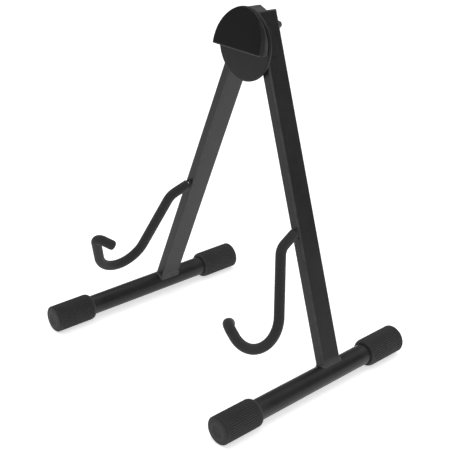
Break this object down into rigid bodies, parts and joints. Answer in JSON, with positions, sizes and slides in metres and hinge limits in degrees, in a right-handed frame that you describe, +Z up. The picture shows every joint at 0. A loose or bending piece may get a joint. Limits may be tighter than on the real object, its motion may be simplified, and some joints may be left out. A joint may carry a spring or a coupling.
{
  "type": "folding guitar stand",
  "caption": "Folding A-frame instrument stand: two hinged steel legs with rubber-capped feet, padded J-shaped cradle arms and a half-moon head pad.",
  "frame": {"origin": "on the floor, in the middle of the four foot caps", "axes": "+Z up; the cradle opens towards -Y; +X is to the right for someone facing the cradle"},
  "size_m": [0.3132, 0.2604, 0.3721],
  "materials": {
    "black_steel": "satin black powder coat",
    "black_moulding": "fine matte moulding",
    "grey_moulding": "dark grey moulding",
    "black_rubber": "matte black rubber",
    "black_foam": "soft closed foam sleeve",
    "zinc_steel": "zinc plated",
    "nylon": "black nylon"
  },
  "bodies": {
    "head": {"hinge_bracket": "black_steel", "head_disc": "black_moulding", "half_moon_pad": "black_rubber", "head_screws": "zinc_steel", "right_pivot_bolt": "zinc_steel", "right_nylon_washer": "nylon", "right_steel_washer": "zinc_steel", "right_pivot_nut": "zinc_steel", "left_pivot_bolt": "zinc_steel", "left_nylon_washer": "nylon", "left_steel_washer": "zinc_steel", "left_pivot_nut": "zinc_steel"},
    "right_leg": {"right_leg_tube": "black_steel", "right_top_plug": "grey_moulding", "right_pivot_bush": "nylon", "right_foot_tube": "black_steel", "right_foot_weld": "black_steel", "right_front_cap": "black_rubber", "right_rear_cap": "black_rubber", "right_support_rod": "zinc_steel", "right_rod_sleeve": "black_foam", "right_arm_weld": "black_steel"},
    "left_leg": {"left_leg_tube": "black_steel", "left_top_plug": "grey_moulding", "left_pivot_bush": "nylon", "left_foot_tube": "black_steel", "left_foot_weld": "black_steel", "left_front_cap": "black_rubber", "left_rear_cap": "black_rubber", "left_support_rod": "zinc_steel", "left_rod_sleeve": "black_foam", "left_arm_weld": "black_steel"}
  },
  "joints": [
    {"name": "right_leg_fold", "type": "hinge", "parent": "head", "child": "right_leg", "pos_m": [0.012, 0.04859, 0.35157], "axis": [0, 0.9981, -0.061], "range_deg": [0, 19.5]},
    {"name": "left_leg_fold", "type": "hinge", "parent": "head", "child": "left_leg", "pos_m": [-0.012, 0.04859, 0.35157], "axis": [0, -0.9981, 0.061], "range_deg": [0, 19.5]}
  ]
}
